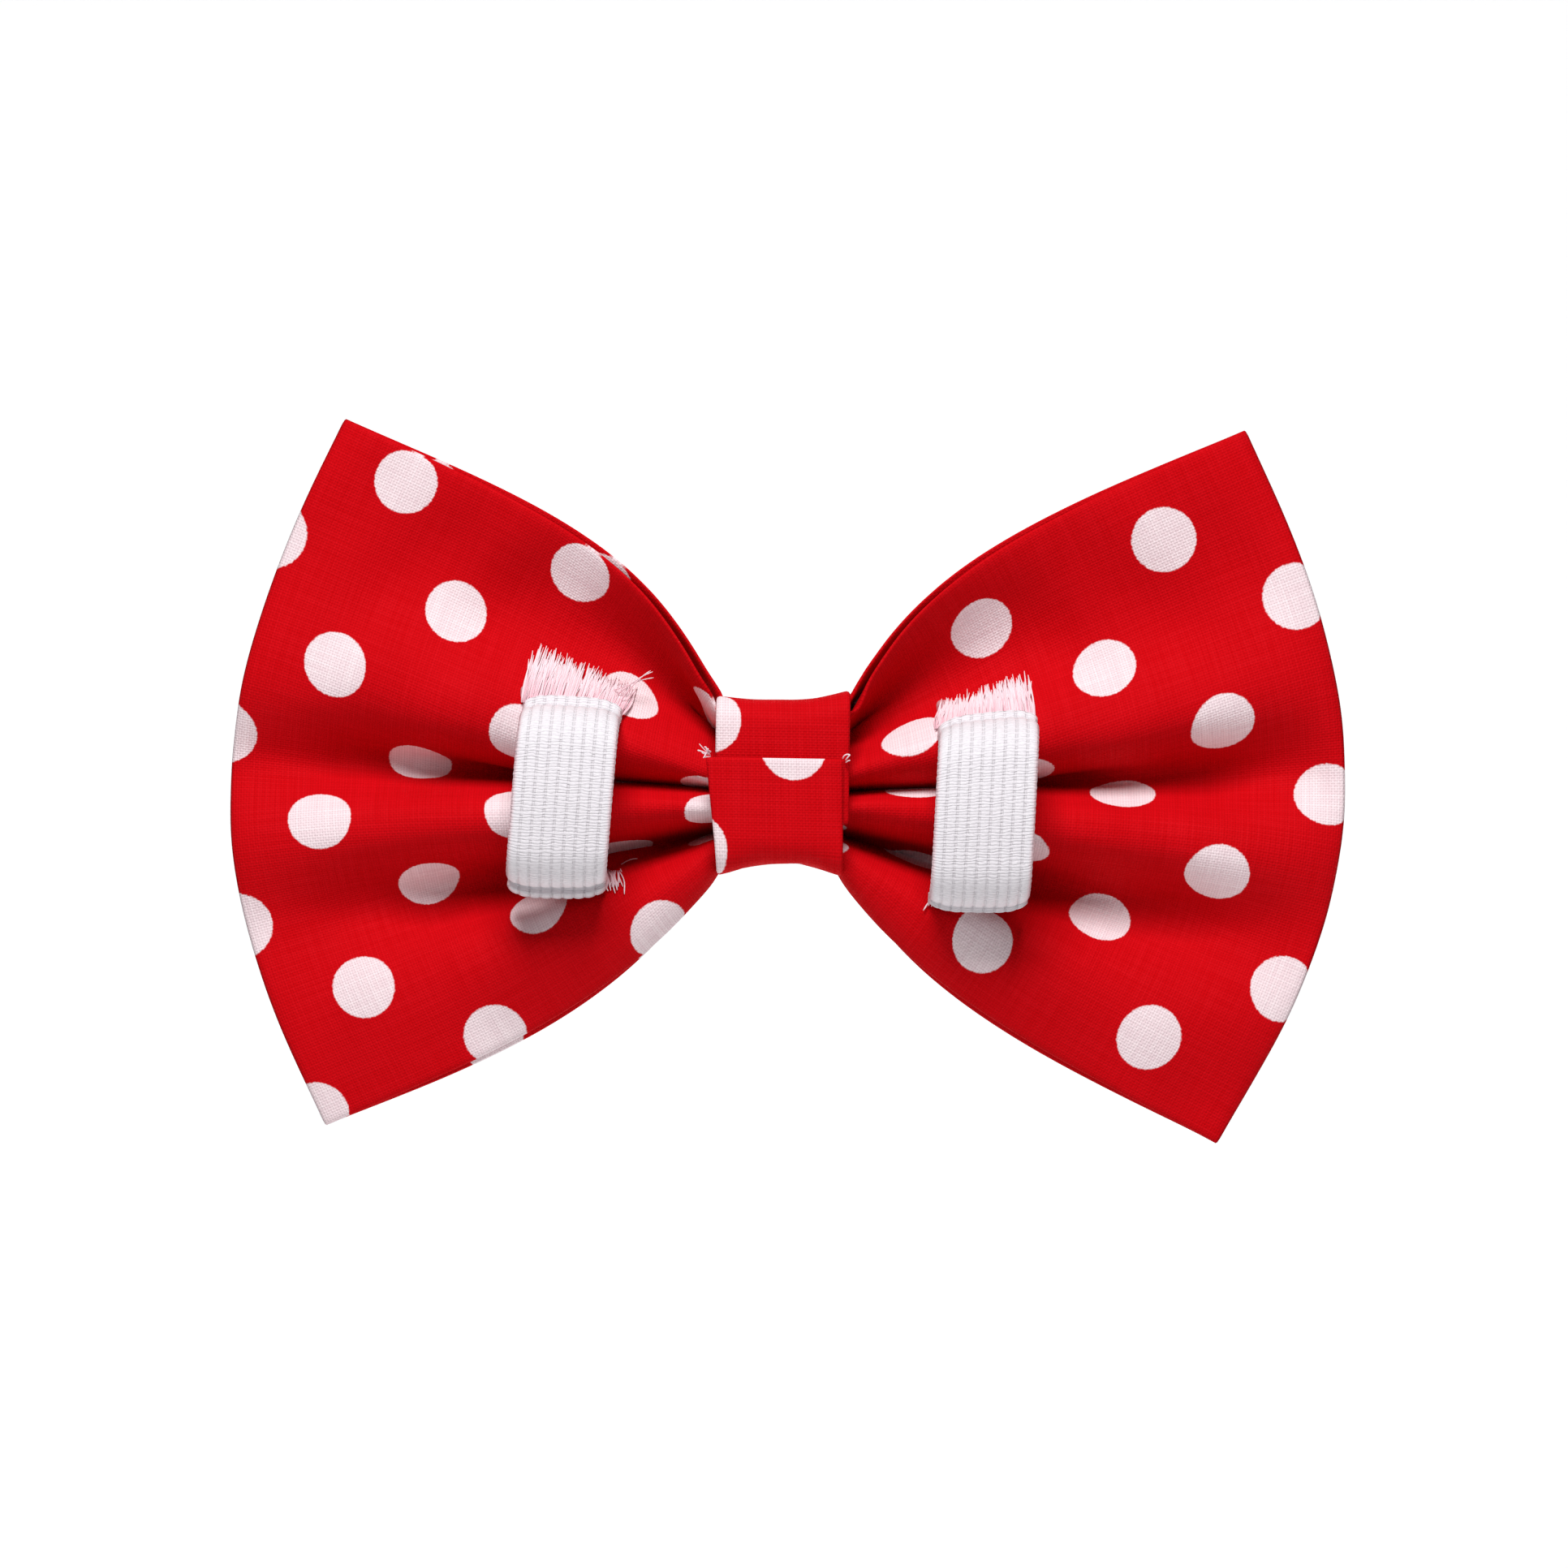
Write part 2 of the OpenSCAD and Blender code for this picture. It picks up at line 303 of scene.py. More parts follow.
def new_piece(name, points, faces, smooth=True):
    """A mesh object from points in millimetres."""
    mesh = bpy.data.meshes.new(name)
    mesh.from_pydata((np.asarray(points).reshape(-1, 3) * MM).tolist(), [], faces)
    mesh.polygons.foreach_set("use_smooth", [smooth] * len(mesh.polygons))
    mesh.validate()
    piece = bpy.data.objects.new(name, mesh)
    SCENE.collection.objects.link(piece)
    return piece


def grid_faces(columns, rows, closed_rows=False, first=0):
    """Quads of a grid of points[column, row]."""
    faces = []
    for c in range(columns - 1):
        for r in range(rows if closed_rows else rows - 1):
            n = (r + 1) % rows
            faces.append((first + c * rows + r, first + c * rows + n,
                          first + (c + 1) * rows + n, first + (c + 1) * rows + r))
    return faces


def set_coordinate(piece, name, values):
    """Stores a vector for each vertex, which a material reads by name."""
    attribute = piece.data.attributes.new(name, "FLOAT_VECTOR", "POINT")
    attribute.data.foreach_set("vector", np.asarray(values, np.float32).ravel())


def solid_sheet(name, points, thickness, coordinate, detail=1):
    """A closed sheet round points[column, row], with rounded rims and its own cloth coordinate."""
    piece = new_piece(name, points, grid_faces(*points.shape[:2]))
    set_coordinate(piece, "cloth", coordinate)
    solid = piece.modifiers.new("thickness", "SOLIDIFY")
    solid.thickness, solid.offset = thickness * MM, 0
    round_off = piece.modifiers.new("rounding", "SUBSURF")
    round_off.levels = round_off.render_levels = detail
    return piece


def to_wing(points, side):
    """Points of the left wing, mirrored for the right wing where side is -1."""
    out = np.array(points, float)
    out[..., 0] *= side
    return out


def surface_of(piece):
    """A tree of the piece's finished surface, for finding the cloth under the elastic."""
    bpy.context.view_layer.update()
    return BVHTree.FromObject(piece, bpy.context.evaluated_depsgraph_get())


def cloth_y(tree, x, z, missing):
    """The y of the cloth that is seen from behind at x, z, all in millimetres."""
    hit = tree.ray_cast(Vector((x * MM, 0.05, z * MM)), Vector((0, -1, 0)))[0]
    return hit.y / MM if hit else missing


# ---- materials ----


class Shader:
    """A node material whose colour, roughness and height are built up with short calls."""

    def __init__(self, name):
        self.material = bpy.data.materials.new(name)
        self.material.use_nodes = True
        self.tree = self.material.node_tree
        self.bsdf = self.tree.nodes["Principled BSDF"]

    def put(self, value, socket):
        if isinstance(value, bpy.types.NodeSocket):
            self.tree.links.new(value, socket)
        else:
            socket.default_value = value

    def math(self, operation, *values, clamp=False):
        node = self.tree.nodes.new("ShaderNodeMath")
        node.operation, node.use_clamp = operation, clamp
        for value, socket in zip(values, node.inputs):
            self.put(value, socket)
        return node.outputs[0]

    def vector(self, operation, *values):
        node = self.tree.nodes.new("ShaderNodeVectorMath")
        node.operation = operation
        for value, socket in zip(values, node.inputs):
            self.put(value, socket)
        return node.outputs["Value" if operation == "LENGTH" else "Vector"]

    def coordinate(self, name):
        node = self.tree.nodes.new("ShaderNodeAttribute")
        node.attribute_name = name
        return node.outputs["Vector"]

    def split(self, vector):
        node = self.tree.nodes.new("ShaderNodeSeparateXYZ")
        self.put(vector, node.inputs[0])
        return node.outputs

    def noise(self, vector, scale, detail=2.0):
        """Noise from about 0 to 1, at a scale per axis in features per millimetre."""
        node = self.tree.nodes.new("ShaderNodeTexNoise")
        node.inputs["Scale"].default_value = 1.0
        node.inputs["Detail"].default_value = detail
        self.put(self.vector("MULTIPLY", vector, scale), node.inputs["Vector"])
        return node.outputs["Fac"]

    def ramp(self, value, low, high, to_low=0.0, to_high=1.0):
        """A smooth step of value from low to high."""
        node = self.tree.nodes.new("ShaderNodeMapRange")
        node.interpolation_type = "SMOOTHSTEP"
        for part, socket in zip((value, low, high, to_low, to_high), node.inputs):
            self.put(part, socket)
        return node.outputs[0]

    def mix(self, factor, a, b):
        node = self.tree.nodes.new("ShaderNodeMix")
        node.data_type = "RGBA"
        self.put(factor, node.inputs[0])
        for value, socket in ((a, node.inputs[6]), (b, node.inputs[7])):
            self.put(value if isinstance(value, bpy.types.NodeSocket) else (*value, 1.0), socket)
        return node.outputs[2]

    def wave(self, value, period):
        """A sine of value, in millimetres, with that period."""
        return self.math("SINE", self.math("MULTIPLY", value, 2 * math.pi / period))

    def finish(self, colour, roughness, height=None, depth=0.04, **sockets):
        self.put(colour if isinstance(colour, bpy.types.NodeSocket) else (*colour, 1.0),
                 self.bsdf.inputs["Base Color"])
        self.put(roughness, self.bsdf.inputs["Roughness"])
        if height is not None:
            bump = self.tree.nodes.new("ShaderNodeBump")
            bump.inputs["Distance"].default_value = depth * MM
            self.put(height, bump.inputs["Height"])
            self.put(bump.outputs[0], self.bsdf.inputs["Normal"])
        for socket, value in sockets.items():
            self.bsdf.inputs[socket.replace("_", " ")].default_value = value
        return self.material


ELASTIC_WHITE = (0.86, 0.82, 0.86)
ELASTIC_SHADE = (0.78, 0.74, 0.78)
# painted shade: the grey laid between the yarns and in the grooves between the ribs
ELASTIC_PAINTED_SHADE = (0.60, 0.56, 0.59)
PICK_REPEAT = 0.62                  # from one yarn across the tape to the next but one


def plain_weave(s, cloth, pitch):
    """The height of a plain weave, and the light and dark of its single threads."""
    u, v, _ = s.split(cloth)
    across, along = s.wave(u, 2 * pitch), s.wave(v, 2 * pitch)
    bumps = s.math("MULTIPLY", s.math("ADD", s.math("ABSOLUTE", across), s.math("ABSOLUTE", along)), 0.4)
    height = s.math("ADD", bumps, s.math("MULTIPLY", s.math("MULTIPLY", across, along), 0.25))
    warp = s.noise(cloth, (1 / pitch, 0.12, 0), 1.0)
    weft = s.noise(cloth, (0.12, 1 / pitch, 0), 1.0)
    return height, s.math("MULTIPLY", s.math("ADD", warp, weft), 0.5)


def spotted_cotton(name):
    """Red cotton with printed white spots in a staggered pattern."""
    s = Shader(name)
    cloth = s.coordinate("cloth")
    weave, threads = plain_weave(s, cloth, 0.27)
    mottle = s.noise(cloth, (0.16, 0.16, 0), 3.0)
    bleed = s.math("MULTIPLY", s.math("SUBTRACT", s.noise(cloth, (3.4, 3.4, 0), 1.0), 0.5), 0.24)
    half = DOT_REPEAT / 2
    spots = []
    for shift in (half, 0.0):
        moved = s.vector("ADD", cloth, (shift, shift, 0))
        cell = s.vector("WRAP", moved, (half, half, 1), (-half, -half, -1))
        spots.append(s.vector("LENGTH", cell))
    distance = s.math("ADD", s.math("MINIMUM", *spots), bleed)
    spot = s.ramp(distance, DOT_R - 0.09, DOT_R + 0.09, 1.0, 0.0)
    light_red = s.mix(mottle, (0.58, 0.0008, 0.0045), (0.66, 0.0014, 0.0065))
    red = s.mix(s.ramp(threads, 0.3, 0.7), (0.56, 0.0004, 0.0032), light_red)
    white = s.mix(s.ramp(threads, 0.3, 0.7), (0.86, 0.67, 0.71), (0.95, 0.79, 0.82))
    colour = s.mix(spot, red, white)
    # painted shade: the weave's gaps between threads are darkened towards a dark red
    in_gap = s.ramp(weave, 0.15, 0.5)
    colour = s.mix(s.math("MULTIPLY", s.math("SUBTRACT", 1.0, in_gap), 0.22), colour, (0.10, 0.0, 0.0))
    roughness = s.ramp(threads, 0.3, 0.7, 0.86, 0.70)
    height = s.math("ADD", weave, s.math("MULTIPLY", threads, 0.7))
    return s.finish(colour, roughness, height, 0.05, Specular_IOR_Level=0.06)


def stiff_felt(name):
    """The stiffener's bonded felt."""
    s = Shader(name)
    cloth = s.coordinate("cloth")
    weave, threads = plain_weave(s, cloth, 0.3)
    colour = s.mix(s.ramp(threads, 0.3, 0.7), (0.55, 0.53, 0.50), (0.80, 0.78, 0.74))
    return s.finish(colour, s.ramp(threads, 0.3, 0.7, 0.95, 0.85), weave, 0.06)


def ribbed_elastic(name):
    """White woven elastic: ribs along it, stitched grooves between them and fine yarns across, with grey painted
    shade in the grooves and between the yarns.
    """
    s = Shader(name)
    tape = s.coordinate("tape")
    across, along, _ = s.split(tape)
    rib = s.math("ABSOLUTE", s.wave(s.math("ADD", across, ELASTIC_W / 2), 2 * RIB))
    drift = s.math("MULTIPLY", s.noise(tape, (0.7, 1.2, 0), 2.0), 0.5)
    picks = s.math("ABSOLUTE", s.wave(s.math("ADD", along, drift), PICK_REPEAT))
    stitches = s.ramp(s.wave(s.math("ADD", along, drift), PICK_REPEAT), -0.6, 0.3)
    stitched = s.math("ADD", s.math("MULTIPLY", stitches, 0.6), 0.4)
    groove = s.math("MULTIPLY", s.ramp(rib, 0.12, 0.5, 1.0, 0.0), stitched)
    fibres = s.noise(tape, (2.6, 7.0, 0), 2.0)
    white = s.mix(s.ramp(fibres, 0.3, 0.7), ELASTIC_SHADE, ELASTIC_WHITE)
    # painted shade: grey between the yarns across the tape, where the height is low
    white = s.mix(s.math("MULTIPLY", s.ramp(picks, 0.0, 0.35, 1.0, 0.0), 0.25), white, ELASTIC_PAINTED_SHADE)
    # painted shade: grey in the grooves between the ribs, dashed along the stitches
    white = s.mix(s.math("MULTIPLY", groove, 0.4), white, ELASTIC_PAINTED_SHADE)
    rim = s.ramp(s.math("ABSOLUTE", across), ELASTIC_W / 2 - 0.5, ELASTIC_W / 2 - 0.05)
    colour = s.mix(s.math("MULTIPLY", rim, 0.55), white, (0.80, 0.50, 0.54))
    height = s.math("ADD", s.math("MULTIPLY", picks, 0.6), s.math("MULTIPLY", fibres, 0.8))
    height = s.math("SUBTRACT", height, s.math("MULTIPLY", groove, 0.9))
    return s.finish(colour, s.ramp(fibres, 0.3, 0.7, 0.85, 0.7), height, 0.07, Specular_IOR_Level=0.2)


def loose_yarn(name, light, dark):
    """Frayed yarns whose tones differ, stained towards their roots."""
    s = Shader(name)
    yarn = s.coordinate("yarn")
    along, tone, _ = s.split(yarn)
    twist = s.noise(yarn, (9.0, 3.0, 1.7), 1.0)
    clean = s.math("ADD", s.math("MULTIPLY", along, 0.7), s.math("MULTIPLY", tone, 0.5))
    stain = s.ramp(clean, 0.15, 0.8, 1.0, 0.0)
    colour = s.mix(stain, light, dark)
    colour = s.mix(s.math("MULTIPLY", twist, 0.3), colour, dark)
    return s.finish(colour, s.ramp(twist, 0.3, 0.7, 0.8, 0.6), twist, 0.03, Specular_IOR_Level=0.2)


def hot_glue(name):
    """Clear glue that shows the cloth's red through it."""
    s = Shader(name)
    place = s.tree.nodes.new("ShaderNodeTexCoord").outputs["Object"]
    cloudy = s.noise(place, (700, 700, 700), 2.0)
    colour = s.mix(s.ramp(cloudy, 0.3, 0.7), (0.62, 0.22, 0.26), (0.80, 0.45, 0.48))
    return s.finish(colour, s.ramp(cloudy, 0.3, 0.7, 0.35, 0.2), cloudy, 0.08, Transmission_Weight=0.35)


def twisted_thread(name):
    """The strong thread round the waist, which lies inside the knot."""
    s = Shader(name)
    place = s.tree.nodes.new("ShaderNodeTexCoord").outputs["Object"]
    fibres = s.noise(place, (5000, 1500, 1500), 2.0)
    colour = s.mix(s.ramp(fibres, 0.3, 0.7), (0.42, 0.01, 0.02), (0.60, 0.03, 0.04))
    return s.finish(colour, s.ramp(fibres, 0.3, 0.7, 0.8, 0.55), fibres, 0.05)


# ---- the bow's cloth ----

# A white spot's centre on each wing's back, inwards from the outer fold and down from the top edge, then the
# slant of the print along the strip's width, and how far the cloth is pulled out along it.
SPOT_AT = {"left": (8.75, 3.2, 0.02, 1.022), "right": (12.1, 6.9, 0.0, 1.047)}
WINGS = {"left": (LEFT_WING, 1), "right": (RIGHT_WING, -1)}
THREAD_GRIP = 0.86                  # how far the thread draws in the waist
STIFFENER_T = 0.3
STIFFENER_ROW_INSET, STIFFENER_COLUMN_INSET = 3, 2


def creased(p, phase):
    """A wing with the soft creases of handled cloth, which both of its layers share."""
    cell = WING_L / COLS
    u = cell * (COLS - np.abs(np.arange(len(p)) - COLS))[:, None]
    v = np.linspace(0, STRIP_H, ROWS + 1)[None]
    broad = 0.34 * np.sin(0.30 * u + 0.17 * v + phase) * np.sin(0.13 * v - 0.10 * u + 0.7 * phase)
    fine = 0.13 * np.sin(0.62 * u - 0.31 * v + 2.1 * phase)
    wavy = p.copy()
    wavy[..., 1] += (broad + fine) * ease((u - 14) / 14)
    return wavy


def waist_columns(edge):
    """The cloth under the knot, drawn in to the thread, from the middle of the bow out to edge[row]."""
    columns = []
    for x in (0.15, 1.4, 2.9, 4.5):
        grip = THREAD_GRIP + (1 - THREAD_GRIP) * float(ease(x / WAIST_X))
        column = edge.copy()
        column[:, 0] = x
        column[:, 1] = MID_Y + (edge[:, 1] - MID_Y) * grip
        column[:, 2] = edge[:, 2] * grip
        columns.append(column)
    return np.stack(columns)


def make_wing(side_name):
    """One wing's cloth, from the middle of the bow round the outer fold and back."""
    wing, side = WINGS[side_name]
    p = creased(gather_wing(wing, 150), 1.0 + side)
    front, back = waist_columns(p[0]), waist_columns(p[-1])[::-1]
    points = np.concatenate([front, p, back])
    cell = WING_L / COLS
    inner = WAIST_X - front[:, 0, 0]
    out = cell * (np.arange(len(p)) - COLS)
    along = np.concatenate([out[0] - inner, out, out[-1] + inner[::-1]])
    down = np.linspace(0, STRIP_H, ROWS + 1)
    spot_u, spot_v, slant, spread = SPOT_AT[side_name]
    coordinate = np.zeros(points.shape)
    coordinate[..., 0] = along[:, None] - spot_u - slant * (down - spot_v)
    coordinate[..., 1] = (down - spot_v) / spread
    piece = solid_sheet(f"{side_name}_wing_cloth", to_wing(points, side), CLOTH_T, coordinate)
    if side < 0:
        piece.data.flip_normals()
    return piece, p


def make_stiffener(side_name, p):
    """The stiff sheet between the two layers of a wing, which keeps its folds open."""
    rows, columns = STIFFENER_ROW_INSET, STIFFENER_COLUMN_INSET
    front, back = p[:COLS], p[COLS + 1:][::-1]
    middle = ((front + back) / 2)[columns:-columns, rows:-rows]
    coordinate = np.zeros(middle.shape)
    coordinate[..., 0] = (np.arange(len(middle)) * WING_L / COLS)[:, None]
    coordinate[..., 1] = np.arange(middle.shape[1]) * STRIP_H / ROWS
    points = to_wing(middle, WINGS[side_name][1])
    return solid_sheet(f"{side_name}_stiffener_sheet", points, STIFFENER_T, coordinate, 0)


# ---- the knot ----

STRIP_T = 0.9                       # the knot's strip, folded in three


def rounded_path(corners, radii, step):
    """Evenly spaced points along a line through corners, with its bends rounded."""
    corners = np.array(corners, float)
    line = [corners[0]]
    for before, corner, after, radius in zip(corners, corners[1:], corners[2:], radii):
        into, out = corner - before, after - corner
        into, out = into / np.linalg.norm(into), out / np.linalg.norm(out)
        turn = math.acos(float(np.clip(into @ out, -1, 1)))
        reach = radius * math.tan(turn / 2)
        a, b = corner - into * reach, corner + out * reach
        for t in np.linspace(0, 1, 9):
            angle = turn * t
            line.append(a + into * radius * math.sin(angle)
                        + (out - into * math.cos(turn)) / math.sin(turn) * radius * (1 - math.cos(angle)))
    line.append(corners[-1])
    line = np.array(line)
    length = np.concatenate([[0], np.cumsum(np.linalg.norm(np.diff(line, axis=0), axis=1))])
    stops = np.linspace(0, length[-1], int(round(length[-1] / step)) + 1)
    return np.stack([np.interp(stops, length, line[:, axis]) for axis in range(2)], -1), stops


def path_normals(line):
    """Unit normals of a path of (y, z) points, to the right of its way."""
    d = np.gradient(line, axis=0)
    d = d / np.linalg.norm(d, axis=1, keepdims=True)
    return np.stack([d[:, 1], -d[:, 0]], -1)


def make_knot():
    """The strip round the waist: up the back, over, down the front, under, and up over its own start."""
    half = STRIP_T / 2
    ring_y, flap_y, front_y = -1.1 - half, KNOT_HIGH[1] - half, KNOT_LOW[1] + half
    top_z, bottom_z, flap_z = 8.45 - half, -7.9 + half, 2.6
    corners = [(ring_y, -4.0), (ring_y, top_z), (front_y, top_z), (front_y, bottom_z), (flap_y, bottom_z),
               (flap_y, flap_z)]
    line, stops = rounded_path(corners, (2.2, 2.6, 2.6, 2.2), 0.5)
    out = path_normals(line)
    out *= np.sign(np.sum(out * (line - [MID_Y, 0]), axis=1))[:, None]
    share = stops / stops[-1]
    keys = (0.0, 0.25, 0.5, 0.82, 1.0)
    middle = np.interp(share, keys, (-0.3, -0.3, 0.0, -0.2, 0.5))
    half_width = np.interp(share, keys, (6.75, 6.75, 6.7, 6.35, 6.9))
    k = np.linspace(-1, 1, 23)
    up, down = np.maximum(out[:, 1], 0) ** 2, np.maximum(-out[:, 1], 0) ** 2
    flare = up[:, None] * np.where(k < 0, 1.15, 0.35) * k ** 2 + down[:, None] * 1.35 * np.abs(k) ** 1.6
    ruck = 0.15 * np.sin(5.2 * k + 0.35 * stops[:, None]) * np.cos(0.21 * stops[:, None] + 2.3 * k)
    push = flare + ruck * (0.4 + down[:, None])
    points = np.zeros((len(line), len(k), 3))
    points[..., 0] = middle[:, None] + half_width[:, None] * k
    points[..., 1:] = line[:, None] + out[:, None] * push[..., None]
    spot_x, spot_s = -1.4, stops[-1] + 1.0
    coordinate = np.zeros(points.shape)
    coordinate[..., 1] = stops[:, None] - spot_s
    coordinate[..., 0] = points[..., 0] - spot_x + 0.03 * (spot_s - stops[:, None])
    return solid_sheet("knot_cloth", points, STRIP_T * 0.96, coordinate), stops[-1]


# ---- the elastic loops ----

ELASTIC_W = 10.0
ELASTIC_T = 1.0
RIB = 1.11                          # from one lengthwise rib to the next
TAPE_LIFT = 0.12                    # the glue between a tape's end and the cloth
# Each loop's middle in x, its top and bottom, how far its bottom stands in +x from its top, how far its top edge
# rises across the tape, and how far its glued ends reach past the loop.
LOOPS = {
    "left": {
        "x": 21.5, "top": 7.5, "bottom": -10.7, "lean": 1.2, "tilt": 0.5, "top_end": 0.8, "bottom_end": 0.4,
    },
    "right": {
        "x": -20.5, "top": 6.8, "bottom": -12.0, "lean": 0.7, "tilt": -1.2, "top_end": 0.5, "bottom_end": 0.4,
    },
}


def resting_y(tree, xs, z):
    """The height that a stiff tape rests at, across the cloth's ridges."""
    return max(cloth_y(tree, x, z, -9.0) for x in xs)


def loop_path(tree, loop):
    """The tape's middle line as (y, z), from its top end over the loop to its bottom end."""
    xs = np.linspace(loop["x"] - 4.6, loop["x"] + 4.6, 9)
    lay = ELASTIC_T / 2 + TAPE_LIFT
    top_z, bottom_z = loop["top"] - ELASTIC_T / 2, loop["bottom"] + ELASTIC_T / 2
    ends = []
    for z, way, reach in ((top_z, 1, loop["top_end"]), (bottom_z, -1, loop["bottom_end"])):
        feet = [(resting_y(tree, xs, z + way * d) + lay, z + way * d) for d in (reach + 0.5, 0.0)]
        ends.append(feet)
    crown_y = LOOP_BACK - ELASTIC_T / 2
    crown = [(crown_y - 0.6, top_z), (crown_y + 0.4, (top_z + bottom_z) / 2), (crown_y - 0.6, bottom_z)]
    return rounded_path(ends[0] + crown + ends[1][::-1], (0.8, 4.4, 24.0, 4.4, 0.8), 0.33)


def tape_section():
    """The tape's ribbed outline across, as (x, height) round from one edge."""
    x = np.linspace(-ELASTIC_W / 2, ELASTIC_W / 2, 73)
    rib = np.abs(np.sin(np.pi * (x + ELASTIC_W / 2) / RIB)) ** 0.6
    edge = np.sqrt(np.clip(1 - (np.abs(x) / (ELASTIC_W / 2)) ** 16, 0, 1))
    height = (ELASTIC_T / 2 - 0.15 + 0.15 * rib) * (0.25 + 0.75 * edge)
    return np.concatenate([np.stack([x, height], -1), np.stack([x, -height], -1)[::-1]])


def make_elastic(side_name, tree):
    """One tape: a glued end, the loop that a collar goes through, and the other glued end."""
    loop = LOOPS[side_name]
    line, stops = loop_path(tree, loop)
    normal = path_normals(line)
    normal *= np.sign(normal[len(normal) // 2, 0])
    section = tape_section()
    share = (loop["top"] - line[:, 1]) / (loop["top"] - loop["bottom"])
    middle = loop["x"] + loop["lean"] * (np.clip(share, -0.3, 1.3) - 0.5)
    wavy = 1 + 0.006 * np.sin(2 * math.pi * stops / 0.8)[:, None]
    across = section[None, :, 0]
    points = np.zeros((len(line), len(section), 3))
    points[..., 0] = middle[:, None] + across * wavy
    points[..., 1:] = line[:, None] + normal[:, None] * section[None, :, 1, None]
    down = np.clip(share, 0, 1)[:, None]
    curve_in = 0.9 * (2 * down - 1) ** 3 * (across / (ELASTIC_W / 2)) ** 4
    points[..., 2] += curve_in + loop["tilt"] * (1 - down) * across / ELASTIC_W
    faces = grid_faces(len(line), len(section), closed_rows=True)
    last = (len(line) - 1) * len(section)
    faces.append(tuple(range(len(section)))[::-1])
    faces.append(tuple(last + i for i in range(len(section))))
    piece = new_piece(f"{side_name}_elastic", points, faces)
    coordinate = np.zeros(points.shape)
    coordinate[..., 0] = section[None, :, 0]
    coordinate[..., 1] = stops[:, None]
    set_coordinate(piece, "tape", coordinate)
    return piece, line


# ---- yarns ----


def tube(line, radius, sides=6):
    """Points and faces of a thin tube along line[n] in mm, with tapered closed ends."""
    line = np.asarray(line, float)
    d = np.gradient(line, axis=0)
    d /= np.linalg.norm(d, axis=1, keepdims=True) + 1e-9
    side = np.cross(d, [0.3, 1.0, 0.2])
    side /= np.linalg.norm(side, axis=1, keepdims=True) + 1e-9
    up = np.cross(d, side)
    turn = np.linspace(0, 2 * math.pi, sides, endpoint=False)
    taper = np.ones(len(line))
    taper[-1], taper[0] = 0.5, 0.6
    ring = side[:, None] * np.cos(turn)[None, :, None] + up[:, None] * np.sin(turn)[None, :, None]
    points = (line[:, None] + radius * taper[:, None, None] * ring).reshape(-1, 3)
    faces = grid_faces(len(line), sides, closed_rows=True)
    last = (len(line) - 1) * sides
    faces += [tuple(range(sides))[::-1], tuple(last + i for i in range(sides))]
    return points, faces


def yarn_piece(name, lines, radii):
    """One mesh of many loose yarns. Each stores how far along it a point is, and a tone of its own."""
    points, faces, coordinate, count = [], [], [], 0
    for n, (line, radius) in enumerate(zip(lines, radii)):
        more, quads = tube(line, radius)
        points.append(more)
        faces += [tuple(count + i for i in face) for face in quads]
        tone = (n * 0.618) % 1.0
        sides = len(more) // len(line)
        coordinate += [(share, tone, n) for share in np.linspace(0, 1, len(line)) for _ in range(sides)]
        count += len(more)
    piece = new_piece(name, np.concatenate(points), faces)
    set_coordinate(piece, "yarn", coordinate)
    return piece


# Frayed ends: (x, z) of the first and last yarn's root, and of their tips, and the number of yarns. Wisps are
# the few long ones that stray, each with its start and its way as (x, z).
FRAYS = {
    "left_top": {
        "root": ((15.9, 6.6), (26.0, 7.8)), "tip": ((14.6, 9.4), (24.7, 13.5)), "count": 300,
        "wisps": [((16.4, 8.8), (-3.2, 1.9)), ((16.0, 8.2), (-2.6, 2.6)), ((16.8, 9.2), (-3.7, 0.9))],
    },
    "right_top": {
        "root": ((-15.6, 5.8), (-25.6, 6.6)), "tip": ((-16.4, 8.4), (-24.9, 11.4)), "count": 280,
        "wisps": [],
    },
    "left_bottom": {
        "root": ((15.9, -9.0), (26.2, -9.4)), "tip": ((15.4, -11.0), (26.0, -10.8)), "count": 90,
        "wisps": [((15.9, -8.8), (-0.9, -1.4)), ((15.9, -8.4), (-1.4, 0.2)), ((16.0, -9.2), (-0.4, -2.0))],
    },
    "right_bottom": {
        "root": ((-15.8, -10.6), (-25.0, -10.8)), "tip": ((-14.9, -12.2), (-25.2, -12.2)), "count": 40,
        "wisps": [],
    },
}


def make_fray(name, tree, rng):
    """The loose warp yarns at one cut end of a tape, lying in a rough fan on the cloth."""
    fray = FRAYS[name]
    lines, radii = [], []
    for i in range(fray["count"]):
        share = np.clip((i + rng.uniform(-0.6, 0.6)) / (fray["count"] - 1), 0, 1)
        root = np.array(fray["root"][0]) * (1 - share) + np.array(fray["root"][1]) * share
        tip = np.array(fray["tip"][0]) * (1 - share) + np.array(fray["tip"][1]) * share
        tip = root + (tip - root) * rng.uniform(0.72, 1.08) + rng.normal(0, 0.2, 2)
        sway = rng.normal(0, 0.14)
        lift = rng.uniform(0.1, 0.8)
        line = []
        for t in np.linspace(0, 1, 7):
            x, z = root + (tip - root) * t
            x += sway * math.sin(math.pi * 1.3 * t)
            y = cloth_y(tree, x, z, None)
            if y is None:
                y = line[-1][1] if line else -4.0
            line.append((x, y + 0.2 + lift * (1 - t) + 0.25 * t * rng.uniform(0.2, 1.2), z))
        line = np.array(line)
        line[1:-1, 1] = (line[:-2, 1] + line[1:-1, 1] * 2 + line[2:, 1]) / 4
        lines.append(line)
        radii.append(rng.uniform(0.05, 0.10))
    for (x, z), (dx, dz) in fray["wisps"]:
        lines.append(curl((x, cloth_y(tree, x, z, -4.0) + 0.9, z), (dx, 0.4, dz), 0.35, 0.5, 16))
        radii.append(0.06)
    return yarn_piece(f"{name}_fray", lines, radii)


